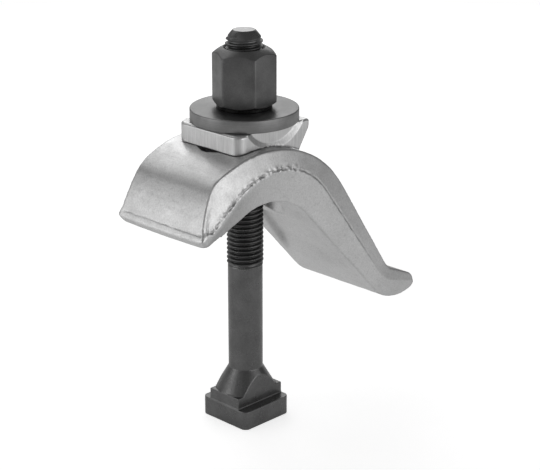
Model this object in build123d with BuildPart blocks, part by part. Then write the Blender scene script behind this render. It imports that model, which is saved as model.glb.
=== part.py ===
from build123d import *
from math import acos, atan2, cos, degrees, hypot, radians, sin, sqrt, tan
import os

# Adjustable strap clamp: an arched, drop-forged strap rocks under a saddle on a T-slot bolt,
# and a washer and a tall nut press the saddle down.
# Millimetres. Z is the bolt's axis, X runs along the strap towards its toe, Y across it.
# The origin is the middle of the T-head's underside.

# Bolt
thread_d = 15.86  # crest of an M16 thread
shank_d = 15.1
bolt_len = 174.0
thread_len = 102.5  # up to the bolt's end
tip_d = 9.4  # flat end of the bolt
tip_len = 4.8  # tapered point above the full thread
head_side = 27.5
head_h = 8.5
head_corner = 3.0
neck_w = 17.8  # runs in an 18 mm T-slot
neck_h = 5.0
neck_step = 0.4  # neck set back from the head's end faces
flare_angle = 30.0  # cone between neck and shank, from the bolt's axis

# Strap, side view
arch_x = -10.0
arch_z = 71.2
arch_r = 57.0
crown_t = 21.9
under_back = 1.0  # centre of the underside's arc, towards the heel from the top's
under_up = 0.6  # and above it, which leaves the toe leg thicker
bend_from = 27.0  # slope where the arch tightens above the heel
bend_r = 14.0
bend_to = 60.0
heel_face_r = 65.0
heel_face_to = 76.2
heel_nose_r = 3.0
leg_angle = 57.0
leg_len = 53.0
knee_r = 8.0
toe_angle = 24.0
toe_len = 19.5
toe_nose_r = 4.2
toe_sole_r = 22.0
sole_angle = 46.8  # underside of the toe leg

# Strap, across
strap_w = 51.2  # at the parting line
draft = 17.0  # lean of the forged flanks above the parting line
draft_under = 10.0  # and below it
draft_reach = 16.0  # how far above the parting line the flanks are drafted
land = 1.2  # trimmed flash
part_fore = 3.0  # centre of the parting line's arc, towards the toe from the arch's
part_up = 10.3
part_in = 19.5  # its radius is this much under the arch's
part_knee = 6.6
slot_w = 18.0
slot_heel = 23.0  # from the bolt's axis to the slot's end
slot_toe = 20.0

# Recess under the toe leg
recess_w = 33.0
recess_len = 42.0
recess_from = 14.0  # from the end of the arch's underside
recess_depth = 2.0
recess_corner = 7.0
recess_floor_r = 1.4

# Saddle
saddle_heel = 21.5
saddle_toe = 20.6
saddle_w = 37.0
saddle_rise = 7.4  # top above the crown
saddle_hole_d = 18.0
saddle_corner = 4.5
saddle_toe_corner = 1.5
saddle_lip = 2.3  # upright band at the toe end
saddle_undercut = 33.0  # lean of the toe end under its lip
saddle_edge = 0.8
scallop_r = 19.5
scallop_low = 8.2  # lowest point below the saddle's top, just through the sole
scallop_depth = 1.2
seat_gap = 0.25  # between saddle and arch

# Washer and nut
washer_d = 46.0
washer_h = 5.5
washer_hole_d = 17.0
washer_edge = 0.5
nut_s = 24.0
nut_turn = 4.4  # a corner's angle from X as the nut stands
nut_h = 25.8
nut_crown_r = 20.0
nut_crown_d = 17.6
nut_seat_d = 22.5  # turned collar that bears on the washer
nut_seat_h = 1.4
nut_seat_angle = 30.0  # chamfer above the collar
nut_sink = 1.0  # countersink past the bore
thread_gap = 0.08  # radial, nut bore on the thread

# Worked out
crown_z = arch_z + arch_r
saddle_top = crown_z + saddle_rise
washer_top = saddle_top + washer_h
nut_bore_d = thread_d + 2 * thread_gap
far = 200.0  # past every part


def from_arch(radius, slope):
    """Point at a radius from the arch's centre where the surface slopes down to the toe by slope."""
    return (arch_x + radius * sin(radians(slope)), arch_z + radius * cos(radians(slope)))


def step(point, distance, slope):
    """Move off a surface, square to it, where it slopes down to the toe by slope."""
    return (point[0] + distance * sin(radians(slope)), point[1] + distance * cos(radians(slope)))


def along(point, distance, slope):
    """Move along a surface towards the toe."""
    return (point[0] + distance * cos(radians(slope)), point[1] - distance * sin(radians(slope)))


def slope_to(centre, radius, point, side):
    """Slope of the tangent from a point to a circle; side is -1 for the heel and 1 for the toe."""
    dx, dz = point[0] - centre[0], point[1] - centre[1]
    return degrees(atan2(dx, dz)) - side * degrees(acos(radius / hypot(dx, dz)))


# Corner points of the strap's side view
bend_start = from_arch(arch_r, -bend_from)
bend_centre = step(bend_start, -bend_r, -bend_from)
bend_end = step(bend_centre, bend_r, -bend_to)
heel_centre = step(bend_end, -heel_face_r, -bend_to)
heel_end = step(heel_centre, heel_face_r, -heel_face_to)
heel_nose = step(heel_end, -heel_nose_r, -heel_face_to)
under_r = arch_r - crown_t - under_up
under_centre = (arch_x - under_back, arch_z + under_up)
heel_slope = slope_to(under_centre, under_r + heel_nose_r, heel_nose, -1)
leg_start = from_arch(arch_r, leg_angle)
knee = along(leg_start, leg_len, leg_angle)
toe_nose = step(along(knee, toe_len - toe_nose_r, toe_angle), -toe_nose_r, toe_angle)

# The toe's sole is an arc tangent to the nose and to the straight underside of the leg
sole_out = under_r + toe_sole_r
nose_x = toe_nose[0] - under_centre[0]
nose_z = toe_nose[1] - under_centre[1]
nose_far = hypot(nose_x, nose_z)
nose_up = atan2(nose_x, nose_z)
nose_out = nose_far * cos(nose_up - radians(sole_angle))
sole_back = sqrt((toe_sole_r - toe_nose_r) ** 2 - (sole_out - nose_out) ** 2)
sole_centre = along(step(toe_nose, sole_out - nose_out, sole_angle), -sole_back, sole_angle)
nose_dir = degrees(atan2(toe_nose[0] - sole_centre[0], toe_nose[1] - sole_centre[1]))

leg_top = step(under_centre, under_r, sole_angle)
leg_plane = Plane(
    origin=(leg_top[0], 0, leg_top[1]),
    x_dir=(cos(radians(sole_angle)), 0, -sin(radians(sole_angle))),
    z_dir=(sin(radians(sole_angle)), 0, cos(radians(sole_angle))),
)


def arc(centre, radius, slope_a, slope_b):
    """Arc about a centre between two surface slopes."""
    middle = (slope_a + slope_b) / 2
    ends = [step(centre, radius, slope) for slope in (slope_a, middle, slope_b)]
    return ThreePointArc(*ends)


with BuildSketch(Plane.XZ) as strap_side:
    with BuildLine() as strap_outline:
        arch_arc = arc((arch_x, arch_z), arch_r, -bend_from, leg_angle)
        top_line = FilletPolyline(
            leg_start, knee, along(knee, toe_len - toe_nose_r, toe_angle), radius=knee_r
        )
        toe_tip = arc(toe_nose, toe_nose_r, toe_angle, nose_dir)
        toe_sole = arc(sole_centre, toe_sole_r, nose_dir, 180 + sole_angle)
        leg_under = Line(toe_sole @ 1, leg_top)
        arch_under = arc(under_centre, under_r, sole_angle, heel_slope)
        heel_under = Line(arch_under @ 1, step(heel_nose, -heel_nose_r, heel_slope))
        heel_tip = arc(heel_nose, heel_nose_r, heel_slope - 180, -heel_face_to)
        heel_face = arc(heel_centre, heel_face_r, -heel_face_to, -bend_to)
        bend_arc = arc(bend_centre, bend_r, -bend_to, -bend_from)
    make_face()

# Corner points of the parting line, seen from the side
part_centre = (arch_x + part_fore, arch_z + part_up)
part_r = arch_r - part_in
part_heel = slope_to(part_centre, part_r, heel_nose, -1)
part_bend = step(knee, -part_knee, (leg_angle + toe_angle) / 2)
part_bend_r = 1.5 * draft_reach
part_toe = slope_to(part_centre, part_r, part_bend, 1)
part_fall = degrees(atan2(part_bend[1] - toe_nose[1], toe_nose[0] - part_bend[0]))
part_end = along(toe_nose, far, part_fall)
part_start = along(heel_nose, -far, part_heel)


def half_plane(side):
    """Everything below (side -1) or above (side 1) the parting line, up to half the land past it."""
    with BuildSketch(Plane.XZ) as region:
        with BuildLine():
            Line(part_start, step(part_centre, part_r, part_heel))
            arc(part_centre, part_r, part_heel, part_toe)
            bend = FilletPolyline(
                step(part_centre, part_r, part_toe), part_bend, part_end, radius=part_bend_r
            )
            Polyline(bend @ 1, (2 * far, side * 3 * far), (-2 * far, side * 3 * far), part_start)
        make_face()
        offset(amount=land / 2, kind=Kind.INTERSECTION)
    return region.sketch


def flank(side):
    """The half plane, wider towards the strap's middle by the draft of the flank past the line."""
    reach = draft_reach if side < 0 else flank_depth / tan(radians(draft_under))
    narrow = half_plane(side)
    wide = offset(narrow, amount=reach, kind=Kind.INTERSECTION)
    outside = Location((0, -strap_w / 2, 0))
    inside = Location((0, -core_w / 2, 0))
    with BuildPart() as drafted:
        loft([narrow.moved(outside), wide.moved(inside)], ruled=True)
    return drafted.part


flank_depth = draft_reach * tan(radians(draft))
core_w = strap_w - 2 * flank_depth  # full section between the flanks

with BuildPart() as cheek:
    with BuildSketch(Plane.XZ.offset(core_w / 2)):
        add(strap_side.sketch)
    extrude(amount=(strap_w - core_w) / 2)
    add(flank(-1), mode=Mode.INTERSECT)
    add(flank(1), mode=Mode.INTERSECT)

with BuildPart() as clamp_strap:
    with BuildSketch(Plane.XZ):
        add(strap_side.sketch)
    extrude(amount=core_w / 2, both=True)
    add(cheek.part)
    mirror(cheek.part, about=Plane.XZ)

    with BuildSketch():
        with Locations(((slot_toe - slot_heel) / 2, 0)):
            SlotOverall(slot_toe + slot_heel, slot_w)
    extrude(amount=far, mode=Mode.SUBTRACT)

    with BuildSketch(leg_plane):
        with Locations((recess_from + recess_len / 2, 0)):
            RectangleRounded(recess_len, recess_w, recess_corner)
    extrude(amount=recess_depth, mode=Mode.SUBTRACT)
    leg_faces = clamp_strap.faces().filter_by(leg_plane)
    recess_floor = leg_faces.sort_by(Axis(leg_plane.origin, leg_plane.z_dir))[-1]
    fillet(recess_floor.edges(), radius=recess_floor_r)
clamp_strap.part.label = "clamp_strap"

# Saddle: a block with a hollow sole that rides on the arch
under_saddle = saddle_top - saddle_lip - arch_z

with BuildPart() as scallop:
    with BuildSketch(Plane.XZ.offset(saddle_w / 2 - scallop_depth)):
        with Locations((0, saddle_top - scallop_low + scallop_r)):
            Circle(scallop_r)
    extrude(amount=far)

with BuildPart() as saddle:
    with BuildSketch(Plane.XZ):
        with BuildLine():
            Polyline(
                (-saddle_heel, arch_z),
                (-saddle_heel, saddle_top),
                (saddle_toe, saddle_top),
                (saddle_toe, saddle_top - saddle_lip),
                (saddle_toe - under_saddle * tan(radians(saddle_undercut)), arch_z),
                close=True,
            )
        make_face()
        with Locations((arch_x, arch_z)):
            Circle(arch_r + seat_gap, mode=Mode.SUBTRACT)
    extrude(amount=saddle_w / 2, both=True)
    corners = saddle.edges().filter_by(Axis.Z).group_by(Axis.X)
    fillet(corners[0], radius=saddle_corner)
    fillet(corners[-1], radius=saddle_toe_corner)
    chamfer(saddle.faces().sort_by(Axis.Z)[-1].edges(), length=saddle_edge)
    add(scallop.part, mode=Mode.SUBTRACT)
    mirror(scallop.part, about=Plane.XZ, mode=Mode.SUBTRACT)
    with Locations((0, 0, saddle_top)):
        Hole(saddle_hole_d / 2)
saddle.part.label = "saddle"

with BuildPart() as washer:
    with BuildSketch(Plane.XY.offset(saddle_top)):
        Circle(washer_d / 2)
        Circle(washer_hole_d / 2, mode=Mode.SUBTRACT)
    extrude(amount=washer_h)
    chamfer(washer.edges().filter_by(GeomType.CIRCLE), length=washer_edge)
washer.part.label = "washer"

# Nut: a hexagon turned to a spherical crown on top and a chamfered collar underneath
nut_corner_r = nut_s / 2 / cos(radians(30))
nut_top = washer_top + nut_h
crown_base = nut_top - sqrt(nut_crown_r**2 - (nut_crown_d / 2) ** 2)
chamfer_rise = (nut_corner_r - nut_seat_d / 2) * tan(radians(nut_seat_angle))
crown_rim = (nut_corner_r, crown_base + sqrt(nut_crown_r**2 - nut_corner_r**2))

with BuildPart() as nut_turned:
    with BuildSketch(Plane.XZ):
        with BuildLine():
            Polyline(
                (nut_crown_d / 2, nut_top),
                (0, nut_top),
                (0, washer_top),
                (nut_seat_d / 2, washer_top),
                (nut_seat_d / 2, washer_top + nut_seat_h),
                (nut_corner_r, washer_top + nut_seat_h + chamfer_rise),
                crown_rim,
            )
            RadiusArc(crown_rim, (nut_crown_d / 2, nut_top), -nut_crown_r)
        make_face()
    revolve(axis=Axis.Z)

with BuildPart() as hex_nut:
    with BuildSketch(Plane.XY.offset(washer_top)):
        RegularPolygon(nut_s / 2, 6, major_radius=False, rotation=nut_turn)
    extrude(amount=nut_h)
    add(nut_turned.part, mode=Mode.INTERSECT)
    with Locations(Plane.XY.offset(nut_top), -Plane.XY.offset(washer_top)):
        CounterSinkHole(nut_bore_d / 2, nut_bore_d / 2 + nut_sink, counter_sink_angle=90)
hex_nut.part.label = "hex_nut"

# Bolt: a turned shank whose flare is milled flat with the neck, to run in the T-slot
flare_z = head_h + neck_h
flare_r = head_side / 2 - neck_step
flare_h = (flare_r - shank_d / 2) / tan(radians(flare_angle))
thread_z = bolt_len - thread_len

with BuildPart() as flare:
    with Locations((0, 0, flare_z + flare_h / 2)):
        Cone(flare_r, shank_d / 2, flare_h)
    with BuildSketch(Plane.XY.offset(flare_z)):
        Rectangle(head_side, neck_w)
    extrude(amount=flare_h, mode=Mode.INTERSECT)

with BuildPart() as t_slot_bolt:
    with BuildSketch():
        RectangleRounded(head_side, head_side, head_corner)
    extrude(amount=head_h)
    with BuildSketch(Plane.XY.offset(head_h)):
        Rectangle(2 * flare_r, neck_w)
    extrude(amount=neck_h)
    add(flare.part)
    with BuildSketch(Plane.XZ):
        with BuildLine():
            Polyline(
                (tip_d / 2, bolt_len),
                (0, bolt_len),
                (0, head_h),
                (shank_d / 2, head_h),
                (shank_d / 2, thread_z),
                (thread_d / 2, thread_z + (thread_d - shank_d) / 2),
                (thread_d / 2, bolt_len - tip_len),
                close=True,
            )
        make_face()
    revolve(axis=Axis.Z)
t_slot_bolt.part.label = "t_slot_bolt"

os.makedirs("parts", exist_ok=True)
export_step(t_slot_bolt.part, "parts/t_slot_bolt.step")
export_step(clamp_strap.part, "parts/clamp_strap.step")
export_step(saddle.part, "parts/saddle.step")
export_step(washer.part, "parts/washer.step")
export_step(hex_nut.part, "parts/hex_nut.step")
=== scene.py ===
# Adjustable strap clamp: an arched forging rocks under a saddle on a T-slot bolt,
# and a thick washer and a tall nut press it down. Metres; Z is the bolt's axis.
import bpy
import bmesh
from math import acos, atan2, cos, exp, hypot, pi, radians, sin, sqrt, tan
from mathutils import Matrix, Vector, noise
from mathutils.bvhtree import BVHTree


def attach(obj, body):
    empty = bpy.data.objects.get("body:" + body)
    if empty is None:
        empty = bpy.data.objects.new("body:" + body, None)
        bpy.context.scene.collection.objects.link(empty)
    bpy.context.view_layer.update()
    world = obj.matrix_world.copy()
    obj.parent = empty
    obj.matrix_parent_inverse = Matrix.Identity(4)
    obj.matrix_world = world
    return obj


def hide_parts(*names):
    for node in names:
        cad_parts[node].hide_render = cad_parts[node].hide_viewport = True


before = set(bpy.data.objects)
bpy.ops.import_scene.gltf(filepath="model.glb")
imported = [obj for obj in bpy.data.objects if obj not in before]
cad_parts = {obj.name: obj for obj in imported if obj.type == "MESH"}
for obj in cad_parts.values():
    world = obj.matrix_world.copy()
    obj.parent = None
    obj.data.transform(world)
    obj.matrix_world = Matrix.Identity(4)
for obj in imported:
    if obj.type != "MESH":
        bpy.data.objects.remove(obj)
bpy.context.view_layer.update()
mm = 0.001


def link(name, mesh):
    thing = bpy.data.objects.new(name, mesh)
    bpy.context.scene.collection.objects.link(thing)
    return thing


def finishPiece(name, mesh, material, body, node):
    mesh.materials.clear()
    mesh.materials.append(material)
    mesh.polygons.foreach_set("material_index", [0] * len(mesh.polygons))
    mesh.name = name
    piece = link(name, mesh)
    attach(piece, body)
    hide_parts(node)
    print("made", name, len(mesh.polygons), "faces")
    return piece


def weldedMesh(node):
    # a CAD node is loose triangles, so its copy is merged first
    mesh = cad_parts[node].data.copy()
    work = bmesh.new()
    work.from_mesh(mesh)
    bmesh.ops.remove_doubles(work, verts=work.verts, dist=0.002 * mm)
    clean = bpy.data.meshes.new(node + "Solid")
    work.to_mesh(clean)
    work.free()
    bpy.data.meshes.remove(mesh)
    return clean


def evenSkin(node, voxel, easing):
    # an even skin over the solid, snapped back onto it, with its edges eased by smoothing
    solid = weldedMesh(node)
    blank = link(node + "Blank", solid)
    remesh = blank.modifiers.new("skin", "REMESH")
    remesh.mode = "VOXEL"
    remesh.voxel_size = voxel
    skin = bpy.data.meshes.new_from_object(blank.evaluated_get(bpy.context.evaluated_depsgraph_get()))
    tree = BVHTree.FromPolygons([v.co for v in solid.vertices], [p.vertices for p in solid.polygons])
    for vert in skin.vertices:
        vert.co = tree.find_nearest(vert.co)[0]
    blank.modifiers.remove(remesh)
    blank.data = skin
    smooth = blank.modifiers.new("easing", "SMOOTH")
    smooth.factor = 0.5
    smooth.iterations = easing
    eased = bpy.data.meshes.new_from_object(blank.evaluated_get(bpy.context.evaluated_depsgraph_get()))
    bpy.data.objects.remove(blank)
    bpy.data.meshes.remove(skin)
    bpy.data.meshes.remove(solid)
    eased.shade_smooth()
    return eased


def ease(t):
    t = max(0.0, min(1.0, t))
    return t * t * (3 - 2 * t)


def roundedRun(points, radii, steps=3):
    # a run of (r, z) points with each corner turned to a small arc; both ends stay as they are
    run = [points[0]]
    for before, here, after, radius in zip(points, points[1:], points[2:], radii):
        a = Vector(before) - Vector(here)
        b = Vector(after) - Vector(here)
        reach = min(radius, 0.45 * a.length, 0.45 * b.length)
        start = Vector(here) + a.normalized() * reach
        end = Vector(here) + b.normalized() * reach
        for k in range(steps + 1):
            t = k / steps
            run.append(tuple(start * (1 - t) ** 2 + Vector(here) * 2 * t * (1 - t) + end * t * t))
    run.append(points[-1])
    return run


def ringMesh(name, columns):
    # columns is a list of closed runs of (x, y, z), one for each step round the axis
    across, around = len(columns[0]), len(columns)
    verts = [p for column in columns for p in column]
    faces = []
    for i in range(around):
        for j in range(across):
            a, b = i * across + j, i * across + (j + 1) % across
            c, d = ((i + 1) % around) * across + (j + 1) % across, ((i + 1) % around) * across + j
            faces.append((a, b, c, d))
    mesh = bpy.data.meshes.new(name)
    mesh.from_pydata(verts, [], faces)
    work = bmesh.new()
    work.from_mesh(mesh)
    bmesh.ops.recalc_face_normals(work, faces=work.faces)
    work.to_mesh(mesh)
    work.free()
    return mesh


def smoothByAngle(mesh, degrees):
    work = bmesh.new()
    work.from_mesh(mesh)
    for edge in work.edges:
        edge.smooth = len(edge.link_faces) < 2 or edge.calc_face_angle(0) < radians(degrees)
    for face in work.faces:
        face.smooth = True
    work.to_mesh(mesh)
    work.free()


def newFinish(name):
    material = bpy.data.materials.new(name)
    material.use_nodes = True
    tree = material.node_tree
    shader = tree.nodes["Principled BSDF"]
    coords = tree.nodes.new("ShaderNodeTexCoord")
    return material, tree, shader, coords.outputs["Object"]


def stretched(tree, coords, scale):
    mapping = tree.nodes.new("ShaderNodeMapping")
    mapping.inputs["Scale"].default_value = scale
    tree.links.new(coords, mapping.inputs["Vector"])
    return mapping.outputs[0]


def noiseOf(tree, coords, scale, detail=2.0, rough=0.5, distort=0.0):
    grain = tree.nodes.new("ShaderNodeTexNoise")
    grain.inputs["Scale"].default_value = scale
    grain.inputs["Detail"].default_value = detail
    grain.inputs["Roughness"].default_value = rough
    grain.inputs["Distortion"].default_value = distort
    tree.links.new(coords, grain.inputs["Vector"])
    return grain.outputs[0]


def spread(tree, source, fromMin, fromMax, toMin, toMax):
    ranged = tree.nodes.new("ShaderNodeMapRange")
    for key, value in (("From Min", fromMin), ("From Max", fromMax), ("To Min", toMin), ("To Max", toMax)):
        ranged.inputs[key].default_value = value
    tree.links.new(source, ranged.inputs["Value"])
    return ranged.outputs["Result"]


def combine(tree, operation, a, b):
    node = tree.nodes.new("ShaderNodeMath")
    node.operation = operation
    for socket, value in zip(node.inputs, (a, b)):
        if isinstance(value, (int, float)):
            socket.default_value = value
        else:
            tree.links.new(value, socket)
    return node.outputs[0]


def attributeOf(tree, name):
    node = tree.nodes.new("ShaderNodeAttribute")
    node.attribute_name = name
    return node.outputs["Fac"]


def bumpOf(tree, height, distance, strength=1.0, under=None):
    bump = tree.nodes.new("ShaderNodeBump")
    bump.inputs["Strength"].default_value = strength
    bump.inputs["Distance"].default_value = distance
    tree.links.new(height, bump.inputs["Height"])
    if under:
        tree.links.new(under, bump.inputs["Normal"])
    return bump.outputs["Normal"]


def forgedZinc():
    # blasted forging under a satin zinc plate
    look = dict(shade=0.66, roughness=0.40, mottle=0.05, grain=0.11, speck=0.10, tornAndShade=0.42)
    material, tree, shader, coords = newFinish("zincForging")
    cloud = spread(tree, noiseOf(tree, coords, 70, 4, 0.6), 0.3, 0.7, 1 - look["mottle"], 1 + look["mottle"])
    fine = spread(tree, noiseOf(tree, coords, 1500, 3, 0.6), 0.3, 0.7, 1 - look["grain"], 1 + look["grain"])
    speck = spread(tree, noiseOf(tree, coords, 620, 2, 0.5), 0.60, 0.72, 1.0, 1 - look["speck"])
    # the attribute darkens flecks of torn flash, and carries painted shade along the parting groove, the line behind
    # the heel, the recess's far wall, the heel's lower band and the toe
    tornAndShade = spread(tree, attributeOf(tree, "tornAndShade"), 0.0, 1.0, 1.0, look["tornAndShade"])
    shade = combine(tree, "MULTIPLY", combine(tree, "MULTIPLY", cloud, fine), look["shade"])
    shade = combine(tree, "MULTIPLY", combine(tree, "MULTIPLY", shade, speck), tornAndShade)
    tree.links.new(shade, shader.inputs["Base Color"])
    shader.inputs["Metallic"].default_value = 1.0
    gloss = spread(tree, noiseOf(tree, coords, 240, 3, 0.6), 0.3, 0.7, look["roughness"] - 0.05, look["roughness"] + 0.07)
    tree.links.new(gloss, shader.inputs["Roughness"])
    rough = bumpOf(tree, noiseOf(tree, coords, 900, 3, 0.55), 0.07 * mm, 0.9)
    rough = bumpOf(tree, noiseOf(tree, coords, 2600, 2, 0.5), 0.02 * mm, 0.8, rough)
    tree.links.new(rough, shader.inputs["Normal"])
    return material


def machinedZinc():
    # milled block under the same plate, with upright cutter marks on its sides
    look = dict(shade=0.66, roughness=0.34, mottle=0.06)
    material, tree, shader, coords = newFinish("zincSaddle")
    streak = noiseOf(tree, stretched(tree, coords, (1900, 1900, 90)), 1.0, 3, 0.6)
    cloud = spread(tree, noiseOf(tree, coords, 160, 3, 0.6), 0.3, 0.7, 1 - look["mottle"], 1 + look["mottle"])
    shade = combine(tree, "MULTIPLY", spread(tree, streak, 0.3, 0.7, 0.86, 1.08), cloud)
    tree.links.new(combine(tree, "MULTIPLY", shade, look["shade"]), shader.inputs["Base Color"])
    shader.inputs["Metallic"].default_value = 1.0
    tree.links.new(spread(tree, streak, 0.3, 0.7, look["roughness"] + 0.06, look["roughness"] - 0.04), shader.inputs["Roughness"])
    marks = bumpOf(tree, streak, 0.04 * mm, 0.8)
    marks = bumpOf(tree, noiseOf(tree, coords, 1500, 2, 0.5), 0.02 * mm, 0.6, marks)
    tree.links.new(marks, shader.inputs["Normal"])
    return material


def blackSteel(name, shade, roughness):
    # black oxide, slightly oiled
    material, tree, shader, coords = newFinish(name)
    cloud = spread(tree, noiseOf(tree, coords, 110, 4, 0.6), 0.3, 0.7, 0.84, 1.16)
    fine = spread(tree, noiseOf(tree, coords, 1700, 2, 0.5), 0.3, 0.7, 0.92, 1.08)
    # the attribute lightens the bolt's end face, and its negative values are painted shade in the thread's roots and
    # on the nut's collar
    tintAndShade = spread(tree, attributeOf(tree, "tintAndShade"), -1.0, 1.0, -0.22, 0.22)
    dark = combine(tree, "MULTIPLY", combine(tree, "MULTIPLY", cloud, fine), shade)
    tree.links.new(combine(tree, "ADD", dark, tintAndShade), shader.inputs["Base Color"])
    shader.inputs["Metallic"].default_value = 0.85
    gloss = spread(tree, noiseOf(tree, coords, 260, 3, 0.6), 0.3, 0.7, roughness - 0.05, roughness + 0.08)
    tree.links.new(gloss, shader.inputs["Roughness"])
    marks = bumpOf(tree, noiseOf(tree, stretched(tree, coords, (220, 220, 2400)), 1.0, 2, 0.5), 0.015 * mm, 0.5)
    marks = bumpOf(tree, noiseOf(tree, coords, 1300, 2, 0.5), 0.02 * mm, 0.6, marks)
    tree.links.new(marks, shader.inputs["Normal"])
    return material


def turnedGrey():
    # phosphated washer; the lathe's rings show through
    look = dict(shade=0.245, roughness=0.36)
    material, tree, shader, coords = newFinish("greyWasher")
    split = tree.nodes.new("ShaderNodeSeparateXYZ")
    tree.links.new(coords, split.inputs[0])
    flat = tree.nodes.new("ShaderNodeCombineXYZ")
    tree.links.new(split.outputs[0], flat.inputs[0])
    tree.links.new(split.outputs[1], flat.inputs[1])
    length = tree.nodes.new("ShaderNodeVectorMath")
    length.operation = "LENGTH"
    tree.links.new(flat.outputs[0], length.inputs[0])
    ring = tree.nodes.new("ShaderNodeCombineXYZ")
    tree.links.new(length.outputs["Value"], ring.inputs[0])
    tree.links.new(split.outputs[2], ring.inputs[1])
    rings = noiseOf(tree, ring.outputs[0], 2600, 3, 0.6)
    cloud = spread(tree, noiseOf(tree, coords, 150, 4, 0.6), 0.3, 0.7, 0.88, 1.12)
    shade = combine(tree, "MULTIPLY", combine(tree, "MULTIPLY", cloud, spread(tree, rings, 0.3, 0.7, 0.9, 1.1)), look["shade"])
    tree.links.new(shade, shader.inputs["Base Color"])
    shader.inputs["Metallic"].default_value = 1.0
    shader.inputs["Anisotropic"].default_value = 0.55
    tangent = tree.nodes.new("ShaderNodeTangent")
    tangent.direction_type = "RADIAL"
    tangent.axis = "Z"
    tree.links.new(tangent.outputs[0], shader.inputs["Tangent"])
    tree.links.new(spread(tree, rings, 0.3, 0.7, look["roughness"] - 0.04, look["roughness"] + 0.08), shader.inputs["Roughness"])
    marks = bumpOf(tree, rings, 0.012 * mm, 0.7)
    marks = bumpOf(tree, noiseOf(tree, coords, 1400, 2, 0.5), 0.012 * mm, 0.6, marks)
    tree.links.new(marks, shader.inputs["Normal"])
    return material


zincForging = forgedZinc()
zincSaddle = machinedZinc()
blackBolt = blackSteel("blackBolt", 0.145, 0.29)
blackNut = blackSteel("blackNut", 0.155, 0.36)
greyWasher = turnedGrey()
print("finishes ready")


boltSizes = dict(
    pitch=2.0, crest=7.93, root=6.75, shank=7.55,
    start=68.5, cutLow=70.2, growFrom=70.4, growTo=72.6,
    tipFrom=169.2, tipTo=4.7, tipBulge=1.4, top=174.0, cutHigh=173.2,
    # the last value below darkens the thread's roots as painted shade
    headCut=33.0, segments=72, turns=54.0, skin=0.30, easing=2, paintedShade=0.42,
)


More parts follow.
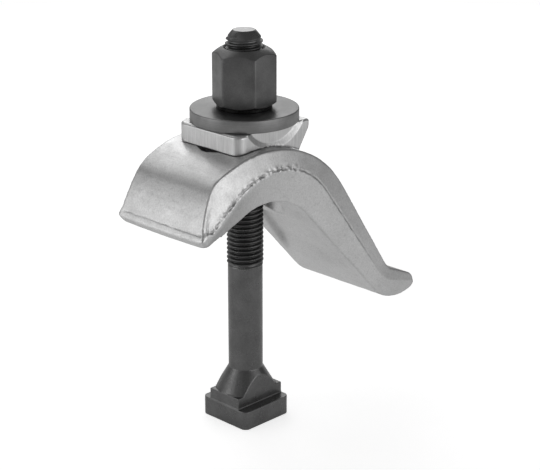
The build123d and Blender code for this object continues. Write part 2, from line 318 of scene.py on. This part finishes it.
def threadTree():
    # one long strip wound up the bolt, a pitch wide, with the thread's form across it
    tree = bpy.data.node_groups.new("windThread", "GeometryNodeTree")
    asked = (
        ("Turns", "turns", "NodeSocketFloat"), ("Segments", "segments", "NodeSocketInt"),
        ("Pitch", "pitch", "NodeSocketFloat"), ("Crest Radius", "crest", "NodeSocketFloat"),
        ("Root Radius", "root", "NodeSocketFloat"), ("Shank Radius", "shank", "NodeSocketFloat"),
        ("Start", "start", "NodeSocketFloat"), ("Grow From", "growFrom", "NodeSocketFloat"),
        ("Grow To", "growTo", "NodeSocketFloat"), ("Point From", "tipFrom", "NodeSocketFloat"),
        ("Point Radius", "tipTo", "NodeSocketFloat"), ("Point Bulge", "tipBulge", "NodeSocketFloat"),
        ("Top", "top", "NodeSocketFloat"),
        ("Finish", None, "NodeSocketMaterial"),
    )
    for label, key, kind in asked:
        tree.interface.new_socket(name=label, in_out="INPUT", socket_type=kind)
    tree.interface.new_socket(name="Thread", in_out="OUTPUT", socket_type="NodeSocketGeometry")
    given = tree.nodes.new("NodeGroupInput").outputs

    def math(operation, a, b=0.0, c=0.0):
        node = tree.nodes.new("ShaderNodeMath")
        node.operation = operation
        for socket, value in zip(node.inputs, (a, b, c)):
            if isinstance(value, (int, float)):
                socket.default_value = value
            else:
                tree.links.new(value, socket)
        return node.outputs[0]

    def formCurve(points, source):
        node = tree.nodes.new("ShaderNodeFloatCurve")
        curve = node.mapping.curves[0]
        while len(curve.points) < len(points):
            curve.points.new(0.5, 0.5)
        for point, (x, y) in zip(curve.points, points):
            point.location = (x, y)
            point.handle_type = "VECTOR"
        node.mapping.update()
        tree.links.new(source, node.inputs["Value"])
        return node.outputs[0]

    places = (0.0, 0.10, 0.155, 0.21, 0.41, 0.445, 0.50, 0.555, 0.59, 0.79, 0.845, 0.90, 1.0)
    heights = (0.0, 0.02, 0.07, 0.18, 0.93, 0.99, 1.0, 0.99, 0.93, 0.18, 0.07, 0.02, 0.0)
    rows = len(places)
    even = [k / (rows - 1) for k in range(rows)]
    strip = tree.nodes.new("GeometryNodeMeshGrid")
    strip.inputs["Size X"].default_value = 1.0
    strip.inputs["Size Y"].default_value = 1.0
    tree.links.new(math("ADD", math("MULTIPLY", given["Turns"], given["Segments"]), 1.0), strip.inputs["Vertices X"])
    strip.inputs["Vertices Y"].default_value = rows
    split = tree.nodes.new("ShaderNodeSeparateXYZ")
    tree.links.new(tree.nodes.new("GeometryNodeInputPosition").outputs[0], split.inputs[0])
    wound = math("MULTIPLY", math("ADD", split.outputs[0], 0.5), given["Turns"])
    angle = math("MULTIPLY", wound, 2 * pi)
    acrossStrip = math("ADD", split.outputs[1], 0.5)
    pitches = math("ADD", wound, formCurve(list(zip(even, places)), acrossStrip))
    height = math("MULTIPLY_ADD", pitches, given["Pitch"], given["Start"])
    form = formCurve(list(zip(even, heights)), acrossStrip)
    full = math("MULTIPLY_ADD", form, math("SUBTRACT", given["Crest Radius"], given["Root Radius"]), given["Root Radius"])
    grown = tree.nodes.new("ShaderNodeMapRange")
    grown.interpolation_type = "SMOOTHSTEP"
    tree.links.new(height, grown.inputs["Value"])
    tree.links.new(given["Grow From"], grown.inputs["From Min"])
    tree.links.new(given["Grow To"], grown.inputs["From Max"])
    radius = math("MULTIPLY_ADD", math("SUBTRACT", full, given["Shank Radius"]), grown.outputs[0], given["Shank Radius"])
    # the point cuts the thread off along a slightly rounded cone
    pointLength = math("SUBTRACT", given["Top"], given["Point From"])
    above = math("DIVIDE", math("SUBTRACT", height, given["Point From"]), pointLength)
    above = math("POWER", math("MAXIMUM", above, 0.0), given["Point Bulge"])
    narrowing = math("SUBTRACT", given["Point Radius"], given["Crest Radius"])
    radius = math("MINIMUM", radius, math("MULTIPLY_ADD", above, narrowing, given["Crest Radius"]))
    place = tree.nodes.new("ShaderNodeCombineXYZ")
    tree.links.new(math("MULTIPLY", radius, math("COSINE", angle)), place.inputs[0])
    tree.links.new(math("MULTIPLY", radius, math("SINE", angle)), place.inputs[1])
    tree.links.new(height, place.inputs[2])
    wind = tree.nodes.new("GeometryNodeSetPosition")
    tree.links.new(strip.outputs["Mesh"], wind.inputs["Geometry"])
    tree.links.new(place.outputs[0], wind.inputs["Position"])
    weld = tree.nodes.new("GeometryNodeMergeByDistance")
    weld.inputs["Distance"].default_value = 0.01
    tree.links.new(wind.outputs[0], weld.inputs["Geometry"])
    real = tree.nodes.new("GeometryNodeRealizeInstances")
    tree.links.new(weld.outputs[0], real.inputs["Geometry"])
    coat = tree.nodes.new("GeometryNodeSetMaterial")
    tree.links.new(real.outputs[0], coat.inputs["Geometry"])
    tree.links.new(given["Finish"], coat.inputs["Material"])
    out = tree.nodes.new("NodeGroupOutput")
    tree.links.new(coat.outputs[0], out.inputs[0])
    return tree, asked


def woundThread():
    # wound in millimetres, then scaled
    tree, asked = threadTree()
    holder = link("threadStrip", bpy.data.meshes.new("threadStrip"))
    modifier = holder.modifiers.new("thread", "NODES")
    modifier.node_group = tree
    sockets = {item.name: item.identifier for item in tree.interface.items_tree if item.in_out == "INPUT"}
    for label, key, kind in asked:
        modifier[sockets[label]] = boltSizes[key] if key else blackBolt
    mesh = bpy.data.meshes.new_from_object(holder.evaluated_get(bpy.context.evaluated_depsgraph_get()))
    holder.modifiers.remove(modifier)
    bpy.data.objects.remove(holder)
    return mesh


def cutLoop(work, z, keepAbove):
    # cut square to the axis and return the open edges left at the cut
    geometry = work.verts[:] + work.edges[:] + work.faces[:]
    bmesh.ops.bisect_plane(
        work, geom=geometry, dist=1e-7, plane_co=(0, 0, z), plane_no=(0, 0, 1),
        clear_inner=keepAbove, clear_outer=not keepAbove,
    )
    return [e for e in work.edges if e.is_boundary and all(abs(v.co.z - z) < 1e-6 for v in e.verts)]


def makeBolt():
    s = boltSizes
    work = bmesh.new()
    thread = woundThread()
    work.from_mesh(thread)
    for vert in work.verts:
        vert.co *= mm
    cutLoop(work, s["cutLow"] * mm, True)
    rim = cutLoop(work, s["cutHigh"] * mm, False)
    # the point's end, a ring at a time, with its edge just broken
    for z, inset in ((173.5, 0.0), (173.75, 0.02), (173.9, 0.07), (173.97, 0.15), (174.0, 0.28)):
        grown = bmesh.ops.extrude_edge_only(work, edges=rim)["geom"]
        rim = [g for g in grown if isinstance(g, bmesh.types.BMEdge)]
        along = ((z - s["tipFrom"]) / (s["top"] - s["tipFrom"])) ** s["tipBulge"]
        r = (s["crest"] + (s["tipTo"] - s["crest"]) * along - inset) * mm
        for vert in {v for e in rim for v in e.verts}:
            now = hypot(vert.co.x, vert.co.y)
            vert.co = (vert.co.x * r / now, vert.co.y * r / now, z * mm)
    for r in (4.2, 2.4):
        grown = bmesh.ops.extrude_edge_only(work, edges=rim)["geom"]
        rim = [g for g in grown if isinstance(g, bmesh.types.BMEdge)]
        for vert in {v for e in rim for v in e.verts}:
            now = hypot(vert.co.x, vert.co.y)
            vert.co = (vert.co.x * r * mm / now, vert.co.y * r * mm / now, s["top"] * mm)
    bmesh.ops.edgeloop_fill(work, edges=rim)
    # head, neck and flare, cut off where the shank is round, then joined to the thread
    head = evenSkin("t_slot_bolt", s["skin"] * mm, s["easing"])
    lower = bmesh.new()
    lower.from_mesh(head)
    cutLoop(lower, s["headCut"] * mm, False)
    low = bpy.data.meshes.new("lower")
    lower.to_mesh(low)
    lower.free()
    work.from_mesh(low)
    ends = [e for e in work.edges if e.is_boundary]
    for vert in {v for e in ends for v in e.verts}:
        now = hypot(vert.co.x, vert.co.y)
        vert.co.x *= s["shank"] * mm / now
        vert.co.y *= s["shank"] * mm / now
    bmesh.ops.bridge_loops(work, edges=ends)
    bmesh.ops.recalc_face_normals(work, faces=work.faces)
    for face in work.faces:
        face.smooth = True
    mesh = bpy.data.meshes.new("boltBody")
    work.to_mesh(mesh)
    print("open edges on the bolt", sum(1 for e in work.edges if e.is_boundary))
    work.free()
    # the turned end face is made lighter, and painted shade darkens the thread's roots
    tintAndShade = mesh.attributes.new("tintAndShade", "FLOAT", "POINT")
    for index, vert in enumerate(mesh.vertices):
        inward = (s["crest"] - hypot(vert.co.x, vert.co.y) / mm) / (s["crest"] - s["root"])
        rootShade = ease(inward) if s["growTo"] < vert.co.z / mm < s["tipFrom"] else 0.0
        tintAndShade.data[index].value = 1.0 if vert.co.z > 173.97 * mm else -s["paintedShade"] * rootShade
    return finishPiece("boltBody", mesh, blackBolt, "bolt", "t_slot_bolt")


makeBolt()


strapSizes = dict(
    skin=0.63, easing=2,
    partCentre=(-7.0, 81.5), partRadius=37.5, heelNose=(-45.565, 98.802), toeNose=(78.939, 47.735),
    partFrom=(-30.272, 110.905), partTo=(22.730, 104.356), partBend=(62.384, 52.776), partBendRadius=24.0,
    halfWidth=25.6, grooveRise=0.95, heelRise=2.65, grooveWidth=0.42, grooveDepth=0.42, bow=0.4,
    legTop=(14.149, 95.417), soleAngle=46.8,
    recessDepth=2.0, recessHalf=14.5, recessFlare=0.17, recessWall=3.2,
    recessFrom=9.5, recessEnd=50.0, recessFade=14.0,
    # the last three values below darken the colour as painted shade on the recess's far wall, the heel's lower band
    # and the toe
    scarHeight=0.5, fleckTint=0.55, paintedWallShade=0.5, paintedBandShade=0.5, paintedToeShade=0.16,
    heelCentre=(14.646, 84.013), heelRadius=65.0,
)


def partingLine():
    s = strapSizes
    cx, cz = s["partCentre"]
    heel, toe = Vector(s["heelNose"]), Vector(s["toeNose"])
    start, end, bend = Vector(s["partFrom"]), Vector(s["partTo"]), Vector(s["partBend"])
    line = [start + (heel - start) * 3, start]
    a, b = atan2(start.x - cx, start.y - cz), atan2(end.x - cx, end.y - cz)
    for k in range(1, 32):
        t = a + (b - a) * k / 32
        line.append(Vector((cx + s["partRadius"] * sin(t), cz + s["partRadius"] * cos(t))))
    line.append(end)
    # the bend before the toe, as a smooth blend between its tangent points
    u, v = (end - bend).normalized(), (toe - bend).normalized()
    half = acos(max(-1, min(1, u.dot(v)))) / 2
    reach = min(s["partBendRadius"] / tan(half), 0.6 * (toe - bend).length * 2)
    for k in range(9):
        t = k / 8
        line.append((bend + u * reach) * (1 - t) ** 2 + bend * 2 * t * (1 - t) + (bend + v * reach) * t * t)
    line.append(toe + v * 40)
    return line


def aboveLine(line, x, z):
    # signed distance from the parting line, and how far along it
    best, side, run, total = 1e9, 1.0, 0.0, 0.0
    for a, b in zip(line, line[1:]):
        dx, dz = b.x - a.x, b.y - a.y
        length = hypot(dx, dz)
        t = max(0.0, min(1.0, ((x - a.x) * dx + (z - a.y) * dz) / length ** 2))
        px, pz = x - a.x - t * dx, z - a.y - t * dz
        far = hypot(px, pz)
        if far < best:
            best, run = far, total + t * length
            side = 1.0 if dx * (z - a.y) - dz * (x - a.x) > 0 else -1.0
        total += length
    return side * best, run


def underLeg(x, z):
    # how far down the leg's flat underside, and how far into the leg from it
    s = strapSizes
    lean = radians(s["soleAngle"])
    x, z = x - s["legTop"][0], z - s["legTop"][1]
    return x * cos(lean) - z * sin(lean), x * sin(lean) + z * cos(lean)


def recessHalfAt(along):
    return strapSizes["recessHalf"] + strapSizes["recessFlare"] * max(0.0, along - strapSizes["recessFrom"])


def recessDepth(along, across):
    # the recess has soft walls, widens and runs out towards the toe
    s = strapSizes
    walls = ease((recessHalfAt(along) - abs(across)) / s["recessWall"])
    return s["recessDepth"] * walls * ease((along - s["recessFrom"]) / 4.0) * ease((s["recessEnd"] - along) / s["recessFade"])


def makeStrap():
    s = strapSizes
    mesh = evenSkin("clamp_strap", s["skin"] * mm, s["easing"])
    line = partingLine()
    work = bmesh.new()
    work.from_mesh(mesh)
    work.normal_update()
    # the recess under the leg, measured along the leg's flat underside and square to it
    lean = radians(s["soleAngle"])
    for vert in work.verts:
        along, deep = underLeg(vert.co.x / mm, vert.co.z / mm)
        bySlot = abs(vert.co.y) < 9.4 * mm and vert.co.x < 20.5 * mm
        if -0.15 < deep < 2.5 and 7.0 < along < 61.0 and abs(vert.co.y) < 22.5 * mm and not bySlot:
            shift = (recessDepth(along, vert.co.y / mm) - deep) * mm
            vert.co += Vector((sin(lean) * shift, 0, cos(lean) * shift))
    work.normal_update()
    # finer faces where the flash was trimmed
    def rimSide(co):
        return abs(co.y) > 23.5 * mm or co.x < -45.5 * mm or co.x > 80.0 * mm
    near = []
    for edge in work.edges:
        co = (edge.verts[0].co + edge.verts[1].co) / 2
        if rimSide(co) and -1.2 < aboveLine(line, co.x / mm, co.z / mm)[0] < (5.0 if co.x < -42 * mm else 2.6):
            near.append(edge)
    bmesh.ops.subdivide_edges(work, edges=near, cuts=1, use_grid_fill=True)
    work.normal_update()
    tornAndShade = work.verts.layers.float.new("tornAndShade")
    moves = []
    for vert in work.verts:
        x, y, z = vert.co / mm
        p = Vector((x, y, z))
        lumps = 0.05 * noise.noise(p / 7.0) + 0.03 * noise.noise(p / 2.6 + Vector((9, 2, 4)))
        move = vert.normal * lumps
        if rimSide(vert.co):
            above, run = aboveLine(line, x, z)
            heel = ease((-42.5 - x) / 4.5)
            if -4 < above < 8:
                where = Vector((run, y, 0.0))
                spot = Vector((run, y, above))
                rough = ease((30.0 - x) / 25.0)
                onFace = ease((25.0 - abs(y)) / 1.5) * heel
                jag = 1 - 0.7 * onFace
                wander = (0.15 + 0.27 * rough) * noise.noise(where / 3.1) + 0.25 * rough * noise.noise(where / 1.1)
                rise = s["grooveRise"] + heel * s["heelRise"] + jag * wander
                deep = 0.55 + 0.9 * noise.noise(where / 4.3 + Vector((3, 3, 3)))
                deep = max(0.15, min(1.0, deep)) * ease((60.0 - x) / 14.0) * (1 - onFace * (0.55 + 0.25 * y / s["halfWidth"]))
                deep *= (1 - heel + onFace) * ease((24.5 - y) / 4.0 + 1 - heel)
                wide = s["grooveWidth"] * (1 - 0.5 * onFace) * (1 + 0.5 * noise.noise(where / 2.2 + Vector((1, 7, 1))))
                groove = exp(-((above - rise) / wide) ** 2) * deep
                ridge = exp(-((above - heel * 2.0 + 0.1) / (0.75 + 0.9 * heel)) ** 2) * (0.14 + 0.36 * heel)
                # torn flash between the groove and the land, worst above the heel
                scar = exp(-((above - 1.0) / 1.6) ** 2) * noise.noise(spot / 1.7 + Vector((5, 5, 5)))
                scar *= s["scarHeight"] * rough * (0.45 + 0.55 * ease((10.0 - x) / 14.0)) * (1 - heel)
                move += vert.normal * (ridge + scar - s["grooveDepth"] * groove)
                flecks = ease((noise.noise(spot / 0.8) - 0.22) * 5) * exp(-((above - 1.4) / 1.3) ** 2)
                flecks *= ease((16.0 - x) / 14.0) * (1 - heel)
                # painted shade along the groove, plus darker flecks of torn flash
                vert[tornAndShade] = min(1.0, groove * (1.1 - 0.45 * (1 - rough) - 0.3 * onFace) + s["fleckTint"] * flecks)
            # a shallow line on the flank just behind the heel's face, darkened in colour as painted shade
            back = s["heelRadius"] - hypot(x - s["heelCentre"][0], z - s["heelCentre"][1])
            if abs(y) > 23.0 and 0 < back < 5 and 100 < z < 119:
                line2 = exp(-((back - 2.1) / 0.45) ** 2) * ease((z - 100.5) / 2) * ease((118 - z) / 3)
                move -= vert.normal * 0.22 * line2
                vert[tornAndShade] = min(1.0, vert[tornAndShade] + 0.35 * line2)
        # painted shade: the recess's far wall, the heel's lower band and the toe are darkened in colour
        along, deep = underLeg(x, z)
        if -0.3 < deep < 2.6 and abs(y) < 22.5:
            wall = exp(-((y - recessHalfAt(along) + s["recessWall"] / 2) / (s["recessWall"] * 0.55)) ** 2)
            vert[tornAndShade] = max(vert[tornAndShade], s["paintedWallShade"] * wall * ease((along - 4) / 6) * ease((52 - along) / 14))
        if y < -22:
            vert[tornAndShade] = max(vert[tornAndShade], s["paintedBandShade"] * ease(-aboveLine(line, x, z)[0] / 2.5) * ease((-4 - x) / 34))
        vert[tornAndShade] = max(vert[tornAndShade], s["paintedToeShade"] * ease((x - 58) / 14))
        # the heel's nose bows out in the middle and its corners are rounded off
        if x < -38:
            reach = ease((104.5 - z) / 7.0)
            side = abs(y) / s["halfWidth"]
            drop = s["bow"] * (1 - side * side) - 1.1 * max(0.0, (side - 0.86) / 0.14) ** 2
            move += Vector((-0.2385, 0, -0.971)) * drop * reach
        moves.append(move * mm)
    for vert, move in zip(work.verts, moves):
        vert.co += move
    for face in work.faces:
        face.smooth = True
    bmesh.ops.recalc_face_normals(work, faces=work.faces)
    mesh = bpy.data.meshes.new("strapBody")
    work.to_mesh(mesh)
    work.free()
    return finishPiece("strapBody", mesh, zincForging, "strap", "clamp_strap")


makeStrap()


saddleSizes = dict(
    skin=0.34, easing=2, side=18.5, dishZ=146.9, dishRadius=19.5, dishDepth=1.2, dishWall=2.5, dishOver=0.7,
    archX=-10.0, archZ=71.2, soleRadius=57.1,
)


def makeSaddle():
    s = saddleSizes
    mesh = evenSkin("saddle", s["skin"] * mm, s["easing"])
    # each flank's recess is a dish whose wall slopes gently to its rim
    for vert in mesh.vertices:
        x, y, z = vert.co / mm
        out = s["dishRadius"] - hypot(x, z - s["dishZ"])
        if abs(y) > s["side"] - s["dishDepth"] - 0.12 and -s["dishOver"] < out:
            deep = s["dishDepth"] * min(1.0, (out + s["dishOver"]) / s["dishWall"])
            vert.co.y = (s["side"] - deep) * mm * (1 if y > 0 else -1)
        # the sole stays close to the arch right up to its edges
        far = hypot(x - s["archX"], z - s["archZ"])
        if far < s["soleRadius"] + 0.8 and x > -5:
            close = (s["soleRadius"] + (far - s["soleRadius"]) * 0.15) / far
            vert.co.x = (s["archX"] + (x - s["archX"]) * close) * mm
            vert.co.z = (s["archZ"] + (z - s["archZ"]) * close) * mm
    return finishPiece("saddleBlock", mesh, zincSaddle, "saddle", "saddle")


makeSaddle()


washerSizes = dict(low=135.6, high=141.1, hole=8.5, rim=23.0, edge=0.6, segments=144)


def makeWasher():
    s = washerSizes
    corners = [
        (s["rim"], (s["low"] + s["high"]) / 2), (s["rim"], s["high"]), (s["hole"], s["high"]),
        (s["hole"], s["low"]), (s["rim"], s["low"]), (s["rim"], (s["low"] + s["high"]) / 2),
    ]
    run = roundedRun(corners, [s["edge"]] * 4, 4)[:-1]
    columns = []
    for k in range(s["segments"]):
        a = 2 * pi * k / s["segments"]
        columns.append([(r * cos(a) * mm, r * sin(a) * mm, z * mm) for r, z in run])
    mesh = ringMesh("thickWasher", columns)
    smoothByAngle(mesh, 40)
    return finishPiece("thickWasher", mesh, greyWasher, "washer", "washer")


makeWasher()


nutSizes = dict(
    # the last value below darkens the collar as painted shade
    low=141.1, high=166.9, flats=24.0, turn=4.4, crown=20.0, crownRim=8.8, seat=11.7, collar=1.4, seatLean=30.0, paintedShade=0.6,
    bore=8.01, sink=1.0, corner=0.55, edge=0.35, steps=20,
)


def makeNut():
    s = nutSizes
    flat = s["flats"] / 2
    crownZ = s["high"] - sqrt(s["crown"] ** 2 - s["crownRim"] ** 2)
    columns = []
    for side in range(6):
        for k in range(s["steps"]):
            # columns crowd towards the corners
            t = -1 + 2 * k / s["steps"]
            t = t * (1.5 - 0.5 * t * t)
            lean = radians(30) * t
            r = flat / cos(lean)
            # rounded upright corner
            over = r - (flat / cos(radians(30)) - s["corner"])
            if over > 0:
                r -= over * over / (2 * s["corner"]) * 0.55
            a = lean + radians(60 * side + s["turn"] + 30)
            collarZ = s["low"] + s["collar"]
            seatZ = collarZ + max(0.0, r - s["seat"]) * tan(radians(s["seatLean"]))
            topZ = crownZ + sqrt(s["crown"] ** 2 - r * r)
            sinkR = s["bore"] + s["sink"]
            crownRun = []
            for step in range(1, 6):
                q = r + (sinkR - r) * step / 6
                crownRun.append((q, crownZ + sqrt(s["crown"] ** 2 - q * q)))
            rimZ = crownZ + sqrt(s["crown"] ** 2 - sinkR ** 2)
            middle = (s["low"] + s["high"]) / 2
            corners = [(r, middle), (r, topZ)] + crownRun + [
                (sinkR, rimZ), (s["bore"], rimZ - s["sink"]), (s["bore"], s["low"] + s["sink"]),
                (sinkR, s["low"]), (s["seat"], s["low"]), (s["seat"], collarZ), (r, seatZ), (r, middle),
            ]
            radii = [s["edge"]] + [0.3] * 5 + [0.25, 0.3, 0.3, 0.3, 0.25, 0.15, s["edge"]]
            run = roundedRun(corners, radii, 3)[:-1]
            columns.append([(q * cos(a) * mm, q * sin(a) * mm, z * mm) for q, z in run])
    mesh = ringMesh("hexNut", columns)
    smoothByAngle(mesh, 50)
    # painted shade on the collar, which sits in shade under the nut's chamfer
    tintAndShade = mesh.attributes.new("tintAndShade", "FLOAT", "POINT")
    for index, vert in enumerate(mesh.vertices):
        tintAndShade.data[index].value = -s["paintedShade"] if vert.co.z / mm < s["low"] + s["collar"] + 0.15 else 0.0
    return finishPiece("hexNut", mesh, blackNut, "nut", "hex_nut")


makeNut()


# strengths: lift is what the camera sees added to the lit floor, and glossLift what metal sees
stageSizes = dict(
    floor=0.9, floorShade=0.80, lift=0.68, glossLift=0.22, air=0.20, airGloss=0.0,
    lampAim=(0.01, 0, 0.09), lampDistance=0.95,
)


def shownTo(tree, camera, gloss):
    # how bright a plain background is for each kind of ray; metal and glass see some of it too
    path = tree.nodes.new("ShaderNodeLightPath")
    clear = combine(tree, "MAXIMUM", path.outputs["Is Camera Ray"], path.outputs["Is Transmission Ray"])
    seen = combine(tree, "MULTIPLY", clear, camera)
    mirrored = combine(tree, "MULTIPLY", path.outputs["Is Glossy Ray"], gloss)
    return combine(tree, "ADD", seen, mirrored)


def makeFloor():
    s = stageSizes
    work = bmesh.new()
    bmesh.ops.create_circle(work, cap_ends=True, segments=96, radius=s["floor"])
    mesh = bpy.data.meshes.new("floor")
    work.to_mesh(mesh)
    work.free()
    material = bpy.data.materials.new("paleFloor")
    material.use_nodes = True
    tree = material.node_tree
    shader = tree.nodes["Principled BSDF"]
    shader.inputs["Base Color"].default_value = (s["floorShade"],) * 3 + (1,)
    shader.inputs["Roughness"].default_value = 0.9
    shader.inputs["Specular IOR Level"].default_value = 0.0
    shader.inputs["Emission Color"].default_value = (1, 1, 1, 1)
    tree.links.new(shownTo(tree, s["lift"], s["glossLift"]), shader.inputs["Emission Strength"])
    mesh.materials.append(material)
    floor = link("floor", mesh)


def makeWorld():
    s = stageSizes
    world = bpy.data.worlds.new("studioAir")
    world.use_nodes = True
    tree = world.node_tree
    shade = tree.nodes["Background"]
    tree.links.new(combine(tree, "ADD", shownTo(tree, 1.0 - s["air"], s["airGloss"]), s["air"]), shade.inputs["Strength"])
    shade.inputs["Color"].default_value = (1, 1, 1, 1)
    bpy.context.scene.world = world


# name, turn and rise in degrees, width and height in metres, brightness of the face
softBoxes = (
    ("rightBox", -88, 0, 0.7, 0.8, 1.3),
    ("rightFill", -60, 5, 0.6, 0.8, 0.6),
    ("leftBox", 158, 5, 0.6, 0.7, 1.2),
    ("leftBackBox", 137, 0, 0.5, 0.6, 0.6),
    ("topBox", 85, 48, 0.8, 0.6, 0.7),
    ("backBox", 45, 30, 0.7, 0.6, 1.3),
    ("highLeft", 180, 45, 0.7, 0.6, 0.25),
    ("lowBack", 95, 8, 0.7, 0.5, 0.25),
)


def softLamp(name, turn, rise, width, height, radiance):
    # a soft box that faces the clamp; its power follows from how bright its face looks
    turn, rise = radians(turn), radians(rise)
    lamp = bpy.data.lights.new(name, "AREA")
    lamp.shape = "RECTANGLE"
    lamp.size = width
    lamp.size_y = height
    lamp.energy = radiance * pi * width * height
    holder = bpy.data.objects.new(name, lamp)
    direction = Vector((cos(turn) * cos(rise), sin(turn) * cos(rise), sin(rise)))
    holder.location = Vector(stageSizes["lampAim"]) + direction * stageSizes["lampDistance"]
    holder.rotation_euler = direction.to_track_quat("Z", "Y").to_euler()
    bpy.context.scene.collection.objects.link(holder)


def makeCamera():
    lens = bpy.data.cameras.new("photoView")
    lens.lens = 112.64
    lens.sensor_width = 36.0
    lens.clip_start = 0.01
    holder = bpy.data.objects.new("photoView", lens)
    holder.location = (-0.47799, -0.48847, 0.32859)
    holder.rotation_euler = (radians(90 - 19.696), 0, radians(-45.277))
    bpy.context.scene.collection.objects.link(holder)
    bpy.context.scene.camera = holder


makeFloor()
makeWorld()
for lampRow in softBoxes:
    softLamp(*lampRow)
makeCamera()
bpy.context.scene.view_settings.view_transform = "Standard"

print("stage ready")
